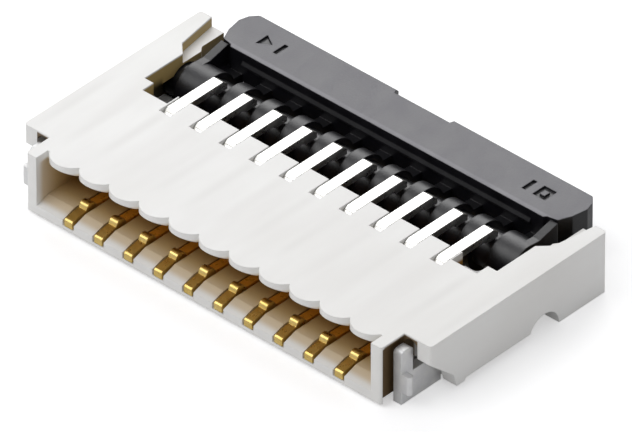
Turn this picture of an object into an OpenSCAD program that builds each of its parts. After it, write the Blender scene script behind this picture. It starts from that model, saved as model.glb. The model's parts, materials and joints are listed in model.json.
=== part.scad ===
// Low-profile surface-mount connector for a flat flexible cable, with a lock bar at the back
// that flips up to let the cable in. X runs along the row of contacts, the cable goes in
// from the front (-Y), and the circuit board is the plane Z = 0. All sizes in millimetres.

/* [Contact row] */
// Distance from one contact to the next
pitch = 0.5; // [0.46:0.01:0.6]
// Thickness of the sheet that the contacts are cut from
contact_t = 0.16; // [0.12:0.01:0.17]
// Gap on each side of a contact in its slot
contact_gap = 0.015; // [0.01:0.005:0.02]
// Height of a contact's arms
arm_h = 0.1; // [0.08:0.005:0.12]
// How far the round contact point stands above the cable slot's floor
bump_h = 0.085; // [0.05:0.005:0.12]
// Distance from a contact's front end to its round contact point
bump_set = 0.34; // [0.28:0.01:0.5]
// Length of the solder tail behind the lock bar's pivot
tail_len = 0.9; // [0.7:0.01:1.1]

/* [Cable slot] */
// From the last contact's centre to the side of the slot
row_margin = 0.53; // [0.5:0.01:0.7]
// Height of the slot
slot_h = 0.42; // [0.36:0.01:0.46]
// Depth of the slot behind the roof's front edge
slot_depth = 1.3; // [1.1:0.01:1.4]
// How far the floor's lip stands in front of the roof's edge
lip_len = 0.21; // [0.18:0.01:0.3]

/* [Housing] */
// Height of the housing above the board
housing_h = 0.9; // [0.86:0.01:1.1]
// Thickness of the roof over the slot
roof_t = 0.24; // [0.2:0.01:0.26]
// Length of the roof from its front edge to its back edge
roof_len = 1.9; // [1.8:0.01:2.3]
// How far the rounded teeth of the roof's front edge stand out
tooth_len = 0.14; // [0.08:0.01:0.16]
// Thickness of the slot's side walls
snout_wall = 0.17; // [0.14:0.01:0.25]
// Width of the corner blocks outside the slot's side walls
corner_w = 0.43; // [0.38:0.01:0.6]
// How far the corner blocks stand behind the lip
corner_set = 0.42; // [0.36:0.01:0.5]
// Length of the side arms behind the roof
arm_len = 1.5; // [1.3:0.01:1.8]
// Gap under the housing's floor
foot_h = 0.04; // [0.02:0.005:0.05]

/* [Lock bar] */
// Distance from the roof's back edge to the bar's pivot
pivot_set = 0.72; // [0.66:0.01:0.9]
// Gap between the cam shaft and the contact arms above and below it
shaft_gap = 0.07; // [0.05:0.005:0.09]
// How far the round webs stand out from the cam shaft
web_rim = 0.09; // [0.06:0.01:0.1]
// Width of the round webs between the contacts
web_w = 0.2; // [0.14:0.01:0.22]
// Width of the cheeks at the bar's ends
cheek_w = 0.4; // [0.3:0.01:0.42]
// Thickness of the bar's flat plate
plate_t = 0.43; // [0.34:0.01:0.46]
// Length of the plate from front to back
plate_len = 0.78; // [0.66:0.01:0.9]
// Gap between the plate and the contact fingers when the bar stands open
swing_gap = 0.06; // [0.05:0.01:0.12]
// Gap between the bar's cheeks and the side arms
arm_gap = 0.13; // [0.1:0.01:0.14]
// Radius of the pivot stubs at the bar's ends
stub_r = 0.24; // [0.14:0.01:0.25]
// Length of the pivot stubs
stub_len = 0.27; // [0.2:0.01:0.3]
// Gap round a pivot stub in its bore
bore_gap = 0.02; // [0.01:0.005:0.03]

/* [Solder tabs] */
// Thickness of the sheet that the tabs are cut from
tab_t = 0.13; // [0.1:0.01:0.15]
// Distance from the lip to the tabs' front edge
tab_set = 0.21; // [0.16:0.01:0.24]
// Length of a tab along the board
tab_len = 0.71; // [0.66:0.01:0.8]
// Height of a tab's front post
tab_h = 0.79; // [0.74:0.01:0.84]

/* [Hidden] */
$fn = 48;
cut = 0.05;           // how far a cutting shape reaches past the surface it cuts
contact_count = 10;

// Across the part, measured from the middle
row_half = (contact_count - 1) * pitch / 2;
slot_half = row_half + row_margin;
snout_half = slot_half + snout_wall;
outer_half = snout_half + corner_w;
finger_gap = (pitch - contact_t - web_w) / 2;
cheek_in = row_half + contact_t / 2 + finger_gap;
cheek_out = cheek_in + cheek_w;
arm_in = cheek_out + arm_gap;

// Up from the board
roof_z = housing_h - roof_t;
floor_z = roof_z - slot_h;
groove_z = foot_h + 0.05;
beam_z = groove_z + 0.01;
finger_top = housing_h - 0.01;
finger_z = finger_top - arm_h;
rear_beam_top = beam_z + arm_h / 2;
pivot_z = (finger_z + rear_beam_top) / 2;
shaft_r = (finger_z - rear_beam_top) / 2 - shaft_gap;
web_r = shaft_r + web_rim;
plate_z = housing_h - plate_t;

// Back from the lip's front face
roof_rear = lip_len + roof_len;
slot_end = lip_len + slot_depth;
arm_rear = roof_rear + arm_len;
pivot_y = roof_rear + pivot_set;
finger_end = pivot_y - 0.04;
plate_front = pivot_y + finger_top - pivot_z + swing_gap;
depth = plate_front + plate_len;
tab_x = snout_half + 0.01;
tab_rear = tab_set + tab_len;

// Puts the origin on the board under the middle of the part
module placed() translate([0, -depth / 2, 0]) children();

// Both ends of the part, which mirror each other
module both_ends() {
    children();
    mirror([1, 0, 0]) children();
}

// Everything that stands once at each contact
module each_contact()
    for (i = [0 : contact_count - 1]) translate([i * pitch - row_half, 0, 0]) children();

// A side view, drawn as (Y, Z) points, made solid between two places along X
module side_profile(x_low, x_high)
    translate([x_low, 0, 0]) rotate([90, 0, 90]) linear_extrude(x_high - x_low) children();

// A round bar along X
module x_bar(x_low, x_high, y, z, r)
    translate([x_low, y, z]) rotate([0, 90, 0]) cylinder(h = x_high - x_low, r = r);

// Rounds an upright edge whose corner points to +X +Y before it is turned
module edge_round(x, y, turn, r = 0.05)
    translate([x, y, -cut]) rotate(turn) translate([-r, -r, 0])
        linear_extrude(housing_h + 2 * cut) difference() {
            square(r + cut);
            circle(r);
        }

// ---------------------------------------------------------------- housing

module slot_cut() {
    roof_edge = 0.08;     // height of the roof's upright front face
    lead_in = 0.3;        // length of the slope under the roof's front edge
    lip_drop = 0.07;      // height of the slope on the lip
    tooth_r = (pow(pitch / 2, 2) + pow(tooth_len, 2)) / (2 * tooth_len);
    // The slot itself
    translate([-slot_half, -cut, floor_z])
        cube([2 * slot_half, slot_end + cut, slot_h]);
    // The room in front of the roof, less the roof's teeth
    difference() {
        translate([-slot_half, -cut, floor_z])
            cube([2 * slot_half, lip_len + cut, housing_h]);
        for (i = [0 : contact_count])
            translate([(i - 0.5) * pitch - row_half, lip_len - tooth_len + tooth_r, 0])
                cylinder(h = housing_h, r = tooth_r);
    }
    // The slopes that guide the cable in
    side_profile(-slot_half, slot_half) {
        polygon([[lip_len - tooth_len - cut, roof_z - cut],
                 [lip_len - tooth_len - cut, housing_h - roof_edge],
                 [lip_len - tooth_len, housing_h - roof_edge],
                 [lip_len + lead_in, roof_z],
                 [lip_len + lead_in, roof_z - cut]]);
        polygon([[-cut, floor_z + cut], [-cut, floor_z - lip_drop], [0, floor_z - lip_drop],
                 [lip_len, floor_z], [lip_len, floor_z + cut]]);
    }
}

// One contact's way through the housing
module contact_slot() {
    half = contact_t / 2 + contact_gap;
    roof_skin = 0.12;     // roof left over the contact's front arm
    // Groove in the floor, open at the front, and on through the back
    translate([-half, -cut, groove_z])
        cube([2 * half, roof_rear + pivot_set, floor_z - groove_z + cut]);
    // Groove in the roof, and the slot for the upright web
    translate([-half, lip_len - tooth_len - cut, floor_z])
        cube([2 * half, roof_rear, housing_h - roof_skin - floor_z]);
    // Slot that bares the finger's root, open at the top and the back
    translate([-half, web_front() + root_set, finger_z - cut])
        cube([2 * half, roof_rear, roof_t]);
}

// The room for the lock bar's ends in the roof's back edge
module end_window() {
    window_set = 0.2;     // how far the window reaches into the roof
    shoulder = 0.15;      // width of the shoulder beside the arm
    translate([cheek_in - finger_gap / 2, roof_rear - window_set, -cut])
        cube([arm_in - shoulder - cheek_in + finger_gap / 2, window_set + cut,
              housing_h + 2 * cut]);
}

// What is cut from one side of the housing
module side_cuts() {
    tab_room = 0.07;      // room outside the solder tab in its pocket
    pocket_half = (tab_t + 0.01 + tab_room) / 2;
    pocket_top = housing_h - 0.04;
    tongue_gap = 0.005;
    arch_r = 0.27;
    rise = 0.1;           // how far the side's lower edge is raised in its middle
    foot_len = 0.17;
    foot_z = 0.06;        // gap under the front foot
    ledge_z = housing_h - 0.145;
    foot_front = tab_rear - 0.03;
    arch_y = pivot_y - 0.355;
    // Pocket of the solder tab, with a rounded top
    translate([snout_half, corner_set - cut, -cut])
        cube([2 * pocket_half, tab_rear + 0.02 - corner_set + cut,
              pocket_top - pocket_half + cut]);
    translate([snout_half + pocket_half, corner_set - cut, pocket_top - pocket_half])
        rotate([-90, 0, 0]) cylinder(h = tab_rear + 0.02 - corner_set + cut, r = pocket_half);
    translate([tab_x - tongue_gap, corner_set, tongue_z() - tongue_gap])
        cube([tab_t + 2 * tongue_gap, tongue_rear() + 0.02 - corner_set,
              tongue_h() + 2 * tongue_gap]);
    // Relief beside the tab in the slot's side wall
    translate([snout_half - snout_wall / 2, 0.03, -cut])
        cube([snout_wall / 2 + cut, corner_set - 0.03, pocket_top + cut]);
    // Lower edge of the side: sloped corner, raised middle, round arch
    side_profile(snout_half - cut, outer_half + cut) {
        polygon([[corner_set - cut, -cut], [corner_set - cut, housing_h - 0.28],
                 [corner_set, housing_h - 0.28], [foot_front - 0.06, 0.26],
                 [foot_front, foot_z], [foot_front, -cut]]);
        translate([foot_front - cut, -cut]) square([foot_len + 2 * cut, foot_z + cut]);
        polygon([[foot_front + foot_len - 0.03, foot_z], [foot_front + foot_len, rise],
                 [arch_y, rise], [arch_y, -cut], [foot_front + foot_len - 0.03, -cut]]);
    }
    x_bar(arm_in - cut, outer_half + cut, arch_y, 0, arch_r);
    // Step along the top of the arm's inner face
    translate([0, 0, ledge_z]) linear_extrude(housing_h)
        polygon([[arm_in - cut, pivot_y - 0.03], [arm_in, pivot_y - 0.03],
                 [arm_in + 0.16, pivot_y + 0.13], [arm_in + 0.27, arm_rear + cut],
                 [arm_in - cut, arm_rear + cut]]);
    // Wider gap between the arms beside the plate
    translate([0, 0, -cut]) linear_extrude(housing_h)
        polygon([[arm_in - cut, pivot_y + stub_r + 0.06], [arm_in, pivot_y + stub_r + 0.06],
                 [arm_in + 0.06, pivot_y + stub_r + 0.14], [arm_in + 0.06, arm_rear + cut],
                 [arm_in - cut, arm_rear + cut]]);
    // Bore for the lock bar's pivot stub, and the groove that it is snapped in through
    x_bar(arm_in - cut, cheek_out + stub_len + bore_gap, pivot_y, pivot_z, stub_r + bore_gap);
    translate([arm_in - cut, roof_rear + 0.02, pivot_z - 0.17])
        cube([cheek_out + stub_len + bore_gap - arm_in + cut, pivot_y - roof_rear, 0.34]);
    end_window();
    edge_round(snout_half, 0, -90, 0.04);
    edge_round(outer_half, corner_set, -90);
    edge_round(outer_half, arm_rear, 0);
    edge_round(arm_in, arm_rear, 90);
}

module housing() {
    rear_shelf = 0.15;    // floor behind the roof, which carries the contacts' back arms
    color("ivory") placed() difference() {
        union() {
            translate([-snout_half, 0, foot_h])
                cube([2 * snout_half, roof_rear, housing_h - foot_h]);
            translate([-arm_in, 0, foot_h])
                cube([2 * arm_in, roof_rear + rear_shelf, floor_z - foot_h]);
            both_ends() {
                translate([slot_half, corner_set, 0])
                    cube([outer_half - slot_half, roof_rear - corner_set, housing_h]);
                translate([arm_in, roof_rear - cut, 0])
                    cube([outer_half - arm_in, arm_len + cut, housing_h]);
            }
        }
        slot_cut();
        each_contact() contact_slot();
        both_ends() side_cuts();
    }
}

// --------------------------------------------------------------- contacts

// Where a contact's upright web starts
function web_front() = slot_end + 0.09;
root_set = 0.14;      // from the web's front to where the roof's slot bares it
root_len = 0.14;      // length of the slope that rises to the finger

module contact_shape() {
    web_len = 0.25;
    coined_w = contact_t * 0.8;
    tip_z = floor_z - 0.03;
    bump_r = 0.08;
    bump_z = floor_z + bump_h - bump_r;
    front_z = roof_z + 0.02;
    point_y = bump_set + 0.18;
    web_rear = web_front() + web_len;
    tail_end = pivot_y + tail_len;
    seat_r = shaft_r + 0.03;
    // Lower arm with its round contact point, both coined narrower than the sheet
    side_profile(-coined_w / 2, coined_w / 2) polygon([
        [0, beam_z], [web_rear, beam_z], [web_rear, rear_beam_top],
        [web_front(), floor_z - 0.02], [bump_set + bump_r, floor_z + 0.01],
        [bump_set - bump_r, floor_z + 0.01], [0.02, tip_z], [0, tip_z - 0.02]]);
    x_bar(-coined_w / 2, coined_w / 2, bump_set, bump_z, bump_r);
    // Upright web and upper front arm, with a point that faces down
    side_profile(-contact_t / 2, contact_t / 2) polygon([
        [web_front(), beam_z], [web_rear, beam_z], [web_rear, finger_top - 0.02],
        [web_front() + root_set, front_z + arm_h], [web_front(), front_z + arm_h * 0.9],
        [point_y - 0.08, front_z + arm_h * 0.7], [point_y - 0.08, front_z], [point_y - 0.03, roof_z - 0.05],
        [point_y + 0.03, roof_z - 0.05], [point_y + 0.1, front_z - 0.01],
        [web_front(), front_z - 0.03]]);
    // Finger over the cam shaft
    difference() {
        side_profile(-contact_t / 2, contact_t / 2) polygon([
            [web_rear - 0.02, finger_z], [finger_end - 0.26, finger_z],
            [finger_end - 0.2, finger_z - 0.04], [finger_end, finger_z - 0.04],
            [finger_end, finger_top - 0.06], [finger_end - 0.08, finger_top],
            [web_front() + root_set + root_len, finger_top],
            [web_rear - 0.02, finger_top - 0.03]]);
        x_bar(-contact_t, contact_t, pivot_y, pivot_z, seat_r);
    }
    // Back arm under the cam shaft, and the solder tail on the board
    side_profile(-contact_t / 2, contact_t / 2) polygon([
        [web_rear - 0.02, beam_z], [pivot_y - 0.2, beam_z], [pivot_y + 0.2, 0],
        [tail_end, 0], [tail_end, arm_h], [pivot_y + 0.34, arm_h],
        [pivot_y, rear_beam_top], [web_rear - 0.02, rear_beam_top]]);
}

module contact(number)
    color("gold") placed() translate([(number - 1) * pitch - row_half, 0, 0]) contact_shape();

// ------------------------------------------------------------ solder tabs

function tongue_z() = tab_h * 0.2;
function tongue_h() = tab_h * 0.25;
function tongue_rear() = tab_rear + tab_len / 2;

module solder_tab() {
    bar_h = tab_h * 0.53; // height of the tab along the board
    post_len = corner_set - tab_set; // the post stands in front of the corner block
    post_r = 0.06;
    ear_w = 0.14;         // how far the front ear turns out
    ear_z = tab_h * 0.24;
    ear_h = tab_h * 0.34;
    side_profile(tab_x, tab_x + tab_t) polygon([
        [tab_set, 0], [tab_rear, 0], [tab_rear, tongue_z()],
        [tongue_rear() - 0.05, tongue_z()], [tongue_rear(), tongue_z() + 0.05],
        [tongue_rear(), tongue_z() + tongue_h() - 0.05],
        [tongue_rear() - 0.05, tongue_z() + tongue_h()],
        [tab_rear, tongue_z() + tongue_h()], [tab_rear - 0.06, bar_h],
        [tab_set + post_len, bar_h], [tab_set + post_len, tab_h - post_r],
        [tab_set, tab_h - post_r]]);
    // Rounded top of the post
    side_profile(tab_x, tab_x + tab_t) polygon([
        [tab_set + post_r, tab_h - 2 * post_r], [tab_set + post_len - post_r, tab_h - 2 * post_r],
        [tab_set + post_len - post_r, tab_h], [tab_set + post_r, tab_h]]);
    for (y = [tab_set + post_r, tab_set + post_len - post_r])
        x_bar(tab_x, tab_x + tab_t, y, tab_h - post_r, post_r);
    // Ear turned outwards at the front
    translate([tab_x, tab_set, ear_z]) cube([tab_t + ear_w - 0.05, 0.09, ear_h]);
    translate([tab_x + tab_t + ear_w - 0.05, tab_set + 0.045, ear_z])
        cylinder(h = ear_h, r = 0.045);
}

module solder_tab_right() color("silver") placed() solder_tab();

module solder_tab_left() color("silver") placed() mirror([1, 0, 0]) solder_tab();

// --------------------------------------------------------------- lock bar

// The plate's outline from above, for the half at +X
function plate_half() = [
    [0, plate_front], [cheek_out - 0.2, plate_front], [cheek_out - 0.17, plate_front + 0.04],
    [cheek_out - 0.02, plate_front + 0.07], [cheek_out + 0.06, plate_front + 0.25],
    [cheek_out + 0.1, depth - 0.3], [cheek_out + 0.06, depth - 0.16],
    [cheek_out - 0.02, depth - 0.07], [cheek_out - 0.13, depth - 0.02], [cheek_out - 0.24, depth],
    [0.5, depth], [0.46, depth - 0.12], [0, depth - 0.12]];

// Half of the plate, with slopes along its back edge
module plate_solid(edge)
    difference() {
        translate([0, 0, plate_z]) linear_extrude(plate_t) polygon(plate_half());
        side_profile(-cut, outer_half) {
            polygon([[depth - edge, housing_h + cut], [depth - edge, housing_h],
                     [depth, housing_h - edge], [depth + cut, housing_h - edge],
                     [depth + cut, housing_h + cut]]);
            polygon([[depth - 0.12, plate_z - cut], [depth - 0.12, plate_z],
                     [depth, plate_z + 0.08], [depth + cut, plate_z + 0.08],
                     [depth + cut, plate_z - cut]]);
        }
    }

// Plain marks sunk into the plate's top: an arrow and a 1 over the first contact, and a 10
// over the last one
module plate_marks() {
    sink = 0.03;
    mark_h = 0.22;
    line_w = 0.06;
    zero_w = 0.2;
    mark_y = plate_front + plate_len * 0.48;
    translate([0, mark_y - mark_h / 2, housing_h - sink]) linear_extrude(sink + cut) {
        translate([-row_half - 0.17, 0]) polygon([[0, 0], [0.18, mark_h / 2], [0, mark_h]]);
        translate([-row_half + 0.12, 0]) square([line_w, mark_h]);
        translate([row_half - 0.24, 0]) square([line_w, mark_h]);
        translate([row_half - 0.06, 0]) difference() {
            square([zero_w, mark_h]);
            translate([line_w, line_w]) square([zero_w - 2 * line_w, mark_h - 2 * line_w]);
        }
    }
}

module actuator_plate() {
    ledge = 0.03;         // how far the ledge on the front face stands out
    edge = 0.06;          // size of the slope along the top's back edge
    skirt = 0.13;         // how far the skirt hangs under the plate's front edge
    difference() {
        both_ends() plate_solid(edge);
        plate_marks();
    }
    side_profile(-cheek_in, cheek_in) polygon([
        [plate_front + cut, housing_h - 0.1], [plate_front, housing_h - 0.12],
        [plate_front - ledge, housing_h - 0.17], [plate_front - ledge, housing_h - 0.19],
        [plate_front, housing_h - 0.22], [plate_front + cut, housing_h - 0.22]]);
    side_profile(-cheek_in, cheek_in) polygon([
        [plate_front + 0.02, plate_z + cut], [plate_front + 0.02, plate_z - skirt],
        [plate_front + 0.1, plate_z - skirt], [plate_front + 0.2, plate_z + cut]]);
}

// A web between two contacts, from the cam shaft back to the plate
module actuator_web(x_low, x_high) {
    x_bar(x_low, x_high, pivot_y, pivot_z, web_r);
    side_profile(x_low, x_high) polygon([
        [pivot_y, pivot_z - web_r], [pivot_y + 0.1, pivot_z - web_r],
        [plate_front + cut, plate_z], [plate_front + cut, plate_z + 0.1],
        [pivot_y + web_r * 0.8, pivot_z + 0.12], [pivot_y, pivot_z + 0.12]]);
}

module actuator() {
    rail_w = 0.12;        // width of the raised rail along each cheek
    color("dimgray") placed() {
        actuator_plate();
        x_bar(-cheek_out, cheek_out, pivot_y, pivot_z, shaft_r);
        for (i = [1 : contact_count - 1]) {
            web_x = (i - 0.5) * pitch - row_half;
            actuator_web(web_x - web_w / 2, web_x + web_w / 2);
        }
        both_ends() {
            actuator_web(cheek_in, cheek_out);
            side_profile(cheek_out - rail_w, cheek_out) polygon([
                [pivot_y, pivot_z], [plate_front + cut, plate_z + 0.05],
                [plate_front + cut, housing_h - 0.03], [pivot_y + 0.2, pivot_z + web_r - 0.02],
                [pivot_y, pivot_z + web_r]]);
            x_bar(cheek_out - cut, cheek_out + stub_len, pivot_y, pivot_z, stub_r);
        }
    }
}

// ------------------------------------------------------------------ parts

housing();
actuator();
contact(1);  // contact_01
contact(2);  // contact_02
contact(3);  // contact_03
contact(4);  // contact_04
contact(5);  // contact_05
contact(6);  // contact_06
contact(7);  // contact_07
contact(8);  // contact_08
contact(9);  // contact_09
contact(10);  // contact_10
solder_tab_left();
solder_tab_right();
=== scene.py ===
"""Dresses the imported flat-cable connector: finishes for its plastics and metals, a pale
floor, soft light and the camera. The row's frame is in metres, and this script's own
lengths are in millimetres: MM turns them into metres."""

import json
import math

import bpy
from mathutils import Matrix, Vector


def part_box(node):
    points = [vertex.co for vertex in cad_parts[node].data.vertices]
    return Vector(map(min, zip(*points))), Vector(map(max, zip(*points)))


MM = 0.001
FLOOR_LIFT = 0.42     # added to the floor for the camera alone, so that it shows as white

# Lengths of the part that its boxes don't give, in millimetres
SLOT_MARGIN = 0.53    # from the last contact's centre to the side of the cable slot
WELL_SET = 1.93       # from the lip to the front of the lock bar's well
PLATE_LEN = 0.78      # from the front to the back of the lock bar's plate

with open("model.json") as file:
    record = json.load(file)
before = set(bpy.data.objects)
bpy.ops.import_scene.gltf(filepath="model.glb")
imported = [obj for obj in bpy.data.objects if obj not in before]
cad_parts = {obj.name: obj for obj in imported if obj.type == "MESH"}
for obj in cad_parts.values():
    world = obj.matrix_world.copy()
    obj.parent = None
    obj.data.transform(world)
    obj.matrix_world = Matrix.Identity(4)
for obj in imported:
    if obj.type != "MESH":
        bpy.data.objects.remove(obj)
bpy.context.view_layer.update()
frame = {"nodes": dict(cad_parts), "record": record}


# ---------------------------------------------------------------- the frame's places

def place(node):
    """Lowest and highest corner of a CAD node at rest, in metres."""
    low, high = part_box(node)
    return Vector(low), Vector(high)


HOUSING_LOW, HOUSING_HIGH = place("housing")
BAR_REAR = place("actuator")[1].y
PITCH = place("contact_02")[0].x - place("contact_01")[0].x
ROW_HALF = (place("contact_10")[0].x - place("contact_01")[0].x) / 2
LIP_Y = HOUSING_LOW.y
TOP_Z = HOUSING_HIGH.z


# ------------------------------------------------------------------- node shorthands

class Nodes:
    """Builds one material's node tree, with lengths in millimetres."""

    def __init__(self, name):
        self.material = bpy.data.materials.new(name)
        self.material.use_nodes = True
        self.tree = self.material.node_tree
        self.shader = self.tree.nodes["Principled BSDF"]
        self.point = None

    def add(self, kind, **settings):
        node = self.tree.nodes.new(kind)
        for key, value in settings.items():
            setattr(node, key, value)
        return node

    def link(self, source, target):
        self.tree.links.new(source, target)

    def put(self, socket, value):
        """Links a socket, or sets a plain value."""
        if isinstance(value, bpy.types.NodeSocket):
            self.link(value, socket)
        else:
            socket.default_value = value

    def mm_point(self):
        """The shaded point in millimetres."""
        if self.point is None:
            coordinate = self.add("ShaderNodeTexCoord")
            scale = self.add("ShaderNodeVectorMath", operation="SCALE")
            self.link(coordinate.outputs["Object"], scale.inputs[0])
            scale.inputs["Scale"].default_value = 1 / MM
            self.point = scale.outputs["Vector"]
        return self.point

    def axis(self, letter):
        split = self.add("ShaderNodeSeparateXYZ")
        self.link(self.mm_point(), split.inputs[0])
        return split.outputs[letter]

    def facing(self, letter):
        """The part's own normal along one axis: 1 on faces that look that way."""
        split = self.add("ShaderNodeSeparateXYZ")
        self.link(self.add("ShaderNodeTexCoord").outputs["Normal"], split.inputs[0])
        return split.outputs[letter]

    def math(self, operation, a, b=0.0, clamp=False):
        node = self.add("ShaderNodeMath", operation=operation, use_clamp=clamp)
        self.put(node.inputs[0], a)
        self.put(node.inputs[1], b)
        return node.outputs[0]

    def step(self, value, low, high):
        """0 below low, 1 above high, smooth between them."""
        node = self.add("ShaderNodeMapRange", interpolation_type="SMOOTHSTEP")
        self.put(node.inputs["Value"], value)
        node.inputs["From Min"].default_value = low
        node.inputs["From Max"].default_value = high
        return node.outputs["Result"]

    def noise(self, per_mm, detail=3.0, roughness=0.55, stretch=(1, 1, 1)):
        """Noise with about per_mm waves in a millimetre."""
        warp = self.add("ShaderNodeVectorMath", operation="MULTIPLY")
        self.link(self.mm_point(), warp.inputs[0])
        warp.inputs[1].default_value = stretch
        node = self.add("ShaderNodeTexNoise")
        self.link(warp.outputs["Vector"], node.inputs["Vector"])
        node.inputs["Scale"].default_value = per_mm
        node.inputs["Detail"].default_value = detail
        node.inputs["Roughness"].default_value = roughness
        return node.outputs["Fac"]

    def mix(self, factor, a, b):
        node = self.add("ShaderNodeMix", data_type="RGBA")
        self.put(node.inputs[0], factor)
        self.put(node.inputs[6], a)
        self.put(node.inputs[7], b)
        return node.outputs[2]

    def spread(self, factor, low, high):
        """Maps a factor onto low..high."""
        node = self.add("ShaderNodeMapRange")
        self.put(node.inputs["Value"], factor)
        node.inputs["From Min"].default_value = 0.25
        node.inputs["From Max"].default_value = 0.75
        node.inputs["To Min"].default_value = low
        node.inputs["To Max"].default_value = high
        return node.outputs["Result"]

    def within(self, value, low, high, blend=0.03):
        """1 where the value lies between low and high, 0 outside."""
        above = self.step(value, low - blend, low + blend)
        return self.math("MULTIPLY", above, self.fade(value, high - blend, high + blend))

    def fade(self, value, low, high):
        """1 below low, 0 above high, smooth between them."""
        return self.math("SUBTRACT", 1.0, self.step(value, low, high))

    def both(self, *factors):
        """The product of several factors."""
        total = factors[0]
        for factor in factors[1:]:
            total = self.math("MULTIPLY", total, factor, clamp=True)
        return total

    def bump(self, height, depth_mm, strength=1.0, edge_mm=0.015):
        """Fine relief over edges that are rounded to edge_mm."""
        edge = self.add("ShaderNodeBevel", samples=4)
        edge.inputs["Radius"].default_value = edge_mm * MM
        node = self.add("ShaderNodeBump")
        self.link(edge.outputs["Normal"], node.inputs["Normal"])
        self.link(height, node.inputs["Height"])
        node.inputs["Distance"].default_value = depth_mm * MM
        node.inputs["Strength"].default_value = strength
        self.link(node.outputs["Normal"], self.shader.inputs["Normal"])

    def set(self, **values):
        names = {"color": "Base Color", "metallic": "Metallic", "roughness": "Roughness",
                 "specular": "Specular IOR Level"}
        for key, value in values.items():
            self.put(self.shader.inputs[names[key]], value)


def srgb(red, green, blue):
    """A display colour from 0 to 255, as Blender's linear colour."""
    def linear(channel):
        c = channel / 255
        return c / 12.92 if c <= 0.04045 else ((c + 0.055) / 1.055) ** 2.4
    return (linear(red), linear(green), linear(blue), 1.0)


# ------------------------------------------------------------------------- materials

def ivory_plastic():
    """Natural liquid crystal polymer: off-white, with faint flow lines along the part.
    Painted warm shade darkens the mouth, the arms' inner faces, the bar's well and the corner
    grooves."""
    n = Nodes("ivory_plastic")
    x, y, z = n.axis("X"), n.axis("Y"), n.axis("Z")
    across = n.math("ABSOLUTE", x)
    lip, top = LIP_Y / MM, TOP_Z / MM
    slot_half = ROW_HALF / MM + SLOT_MARGIN
    well_y = lip + WELL_SET
    streaks = n.noise(1.3, detail=3.0, stretch=(1.8, 0.4, 1.0))
    patches = n.noise(0.5, detail=2.0)
    surface = n.mix(n.spread(streaks, 0.0, 1.0), srgb(231, 230, 228), srgb(240, 240, 238))
    surface = n.mix(n.spread(patches, 0.0, 0.35), surface, srgb(227, 225, 219))
    # Painted shade: a faint dark stripe behind each contact, in place of the shading of faint
    # relief there
    from_first = n.math("ADD", x, ROW_HALF / MM + PITCH / MM * 4)
    wave = n.math("PINGPONG", from_first, PITCH / MM / 2)
    contact_groove_shade = n.both(n.fade(wave, 0.0, 0.13), n.within(y, lip + 0.6, lip + 1.8, 0.3),
                  n.spread(streaks, 0.0, 0.35))
    surface = n.mix(contact_groove_shade, surface, srgb(208, 206, 203))
    sideways = n.step(n.math("ABSOLUTE", n.facing("X")), 0.4, 0.6)
    # The mouth: painted shade with a warm bounce tint, tan from the lip's slope on, darker
    # towards the back
    below = n.fade(z, top - 0.13, top - 0.07)
    inside = n.fade(across, slot_half + 0.005, slot_half + 0.03)
    mouth = n.both(n.step(y, lip + 0.03, lip + 0.14), below, inside)
    painted_mouth_shade = n.mix(n.step(y, lip + 0.1, lip + 0.42), srgb(210, 194, 168), srgb(198, 172, 124))
    painted_mouth_shade = n.mix(n.step(y, lip + 0.3, lip + 0.75), painted_mouth_shade, srgb(158, 116, 52))
    surface = n.mix(mouth, surface, painted_mouth_shade)
    # Painted shade on the side arms' inner faces, darker low down, and in the well of the lock
    # bar
    low = n.fade(z, top - 0.03, top - 0.008)
    arm = n.both(n.within(across, 2.6, 3.3, 0.01), n.step(y, well_y - 0.2, well_y - 0.15), low,
                 sideways)
    painted_arm_shade = n.mix(n.step(z, top - 0.5, top - 0.2), srgb(58, 50, 30), srgb(176, 152, 98))
    surface = n.mix(arm, surface, painted_arm_shade)
    # Painted shade: the well of the lock bar is painted a near-black brown
    well = n.both(n.within(across, 2.3, 3.0, 0.01), n.within(y, well_y - 0.25, well_y + 0.5),
                  n.fade(z, top - 0.3, top - 0.12))
    surface = n.mix(well, surface, srgb(38, 32, 20))
    # Painted shade in the grooves beside the solder tabs
    groove = n.both(n.within(across, slot_half + 0.07, slot_half + 0.38, 0.005),
                    n.within(y, lip + 0.05, lip + 0.6, 0.03), low)
    surface = n.mix(groove, surface, srgb(104, 84, 56))
    n.set(color=surface, roughness=n.spread(patches, 0.42, 0.5), specular=0.45)
    n.bump(n.noise(26.0, detail=4.0), 0.0012, 0.6)
    return n.material


def black_plastic():
    """Black glass-filled polymer with a fine eroded grain, and a painted grey sheen on the
    plate's top.
    """
    n = Nodes("black_plastic")
    grain = n.noise(30.0, detail=5.0, roughness=0.65)
    cloud = n.noise(2.4, detail=6.0, roughness=0.65, stretch=(1.6, 0.8, 1.0))
    y, z = n.axis("Y"), n.axis("Z")
    up = n.step(n.facing("Z"), 0.6, 0.9)
    black = n.mix(n.spread(cloud, 0.0, 1.0), srgb(11, 11, 13), srgb(22, 21, 26))
    # Painted sheen: the plate's up-facing top is painted grey, with a painted highlight along
    # its front edge
    top = TOP_Z / MM
    front = BAR_REAR / MM - PLATE_LEN
    plate = n.both(up, n.step(y, front - 0.02, front), n.step(z, top - 0.015, top - 0.005))
    painted_plate_sheen = n.mix(n.spread(cloud, 0.0, 1.0), srgb(44, 43, 50), srgb(66, 64, 73))
    front_edge_highlight = n.fade(y, front + 0.05, front + 0.09)
    painted_plate_sheen = n.mix(front_edge_highlight, painted_plate_sheen, srgb(84, 82, 90))
    n.set(color=n.mix(plate, black, painted_plate_sheen), roughness=n.spread(cloud, 0.28, 0.42),
          specular=n.math("ADD", n.math("MULTIPLY", up, 0.45), 0.35))
    n.bump(grain, 0.003, 0.7, edge_mm=0.02)
    return n.material


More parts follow.
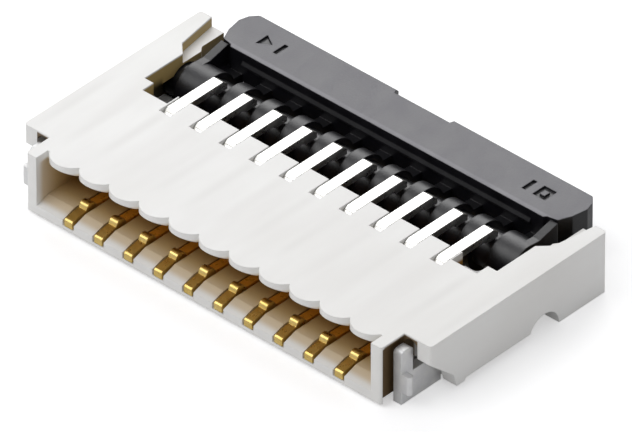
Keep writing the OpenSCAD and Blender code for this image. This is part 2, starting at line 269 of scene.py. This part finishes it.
def plated_contact():
    """Phosphor bronze: gold on the contact points and the tails, nickel on the fingers."""
    n = Nodes("plated_contact")
    y, z = n.axis("Y"), n.axis("Z")
    lip = LIP_Y / MM
    behind = n.step(y, lip + 1.55, lip + 1.65)
    high = n.step(z, 0.5, 0.6)
    finger = n.math("MULTIPLY", behind, high, clamp=True)
    tone = n.noise(5.0, detail=3.0)
    gold = n.mix(n.spread(tone, 0.0, 1.0), srgb(226, 194, 110), srgb(240, 212, 138))
    # Painted shade: the slope behind the round point is painted a darker orange and made less
    # metallic
    flank_shade = n.within(y, lip + 0.44, lip + 1.2, 0.03)
    gold = n.mix(flank_shade, gold, srgb(220, 146, 44))
    nickel = n.mix(n.spread(tone, 0.0, 1.0), srgb(232, 231, 226), srgb(245, 244, 240))
    n.set(color=n.mix(finger, gold, nickel),
          metallic=n.math("SUBTRACT", 1.0, n.math("MULTIPLY", flank_shade, 0.7)),
          roughness=n.spread(n.noise(14.0, detail=3.0), 0.24, 0.36))
    # Shear marks of the stamping run through the sheet, along X
    n.bump(n.noise(9.0, detail=3.0, stretch=(0.2, 2.4, 2.4)), 0.0015, 0.5)
    return n.material


def matt_tin():
    """Matt tin plate, slightly mottled."""
    n = Nodes("matt_tin")
    mottle = n.noise(7.0, detail=4.0)
    n.set(color=n.mix(n.spread(mottle, 0.0, 1.0), srgb(222, 222, 224), srgb(238, 238, 236)),
          metallic=0.75, roughness=n.spread(mottle, 0.42, 0.55))
    n.bump(n.noise(22.0, detail=4.0), 0.0025, 0.6)
    return n.material


def stage_white():
    """A pale floor that keeps the shadow and shows as plain white to the camera."""
    n = Nodes("stage_white")
    path = n.add("ShaderNodeLightPath")
    n.set(color=(0.8, 0.8, 0.8, 1.0), roughness=0.9, specular=0.0)
    n.shader.inputs["Emission Color"].default_value = (1.0, 1.0, 1.0, 1.0)
    n.link(n.math("MULTIPLY", path.outputs["Is Camera Ray"], FLOOR_LIFT),
           n.shader.inputs["Emission Strength"])
    return n.material


FINISHES = {"housing_plastic": ivory_plastic(), "bar_plastic": black_plastic(),
            "contact_metal": plated_contact(), "tab_metal": matt_tin()}

for part in frame["record"]["subparts"]:
    node = frame["nodes"][part["node"]]
    for slot in node.material_slots:
        slot.material = FINISHES[part["material_slot"]]


# --------------------------------------------------------------------------- surroundings

def add_floor():
    """A flat sheet just under the part."""
    half = 60 * MM
    mesh = bpy.data.meshes.new("floor")
    mesh.from_pydata([(-half, -half, 0), (half, -half, 0), (half, half, 0), (-half, half, 0)],
                     [], [(0, 1, 2, 3)])
    floor = bpy.data.objects.new("floor", mesh)
    floor.location.z = -0.002 * MM
    bpy.context.scene.collection.objects.link(floor)
    mesh.materials.append(stage_white())


def direction(azimuth, elevation):
    """Unit vector to a place at this azimuth (0 is -Y, 90 is +X) and elevation."""
    a, e = math.radians(azimuth), math.radians(elevation)
    return Vector((math.sin(a) * math.cos(e), -math.cos(a) * math.cos(e), math.sin(e)))


def aim(item, spot, target):
    """Puts a lamp or camera at a spot and turns it to the target."""
    item.location = spot
    item.rotation_euler = (target - spot).to_track_quat("-Z", "Y").to_euler()


def add_lamp(name, azimuth, elevation, distance, width, height, radiance):
    """A soft panel that faces the part. Its radiance doesn't depend on its size."""
    light = bpy.data.lights.new(name, "AREA")
    light.shape = "RECTANGLE"
    light.size, light.size_y = width * MM, height * MM
    light.energy = radiance * math.pi * light.size * light.size_y
    lamp = bpy.data.objects.new(name, light)
    bpy.context.scene.collection.objects.link(lamp)
    centre = Vector((0, 0, TOP_Z / 2))
    aim(lamp, centre + direction(azimuth, elevation) * distance * MM, centre)


def add_world():
    """Even grey light from all round, which the camera sees as white."""
    world = bpy.data.worlds.new("studio")
    world.use_nodes = True
    tree = world.node_tree
    background = tree.nodes["Background"]
    path = tree.nodes.new("ShaderNodeLightPath")
    seen = tree.nodes.new("ShaderNodeMix")
    seen.data_type = "RGBA"
    seen.inputs[6].default_value = (0.5, 0.5, 0.51, 1.0)
    seen.inputs[7].default_value = (1.0, 1.0, 1.0, 1.0)
    tree.links.new(path.outputs["Is Camera Ray"], seen.inputs[0])
    tree.links.new(seen.outputs[2], background.inputs["Color"])
    background.inputs["Strength"].default_value = 1.0
    bpy.context.scene.world = world


def add_camera():
    """A long lens at the photograph's viewing angle."""
    data = bpy.data.cameras.new("camera")
    data.sensor_width = 36.0
    data.lens = 1100.0
    data.clip_start = 10 * MM
    data.clip_end = 2000 * MM
    camera = bpy.data.objects.new("camera", data)
    bpy.context.scene.collection.objects.link(camera)
    target = Vector((0.55 * MM, -0.6 * MM, TOP_Z))
    distance = 235.7
    aim(camera, target + direction(42.6, 36.7) * distance * MM, target)
    bpy.context.scene.camera = camera


add_floor()
add_world()
add_lamp("key", azimuth=-30, elevation=52, distance=45, width=34, height=34, radiance=2.0)
add_lamp("rear_panel", azimuth=222, elevation=38, distance=45, width=40, height=24, radiance=2.6)
add_lamp("fill", azimuth=80, elevation=25, distance=50, width=24, height=24, radiance=0.2)
add_camera()
bpy.context.scene.view_settings.view_transform = "Standard"
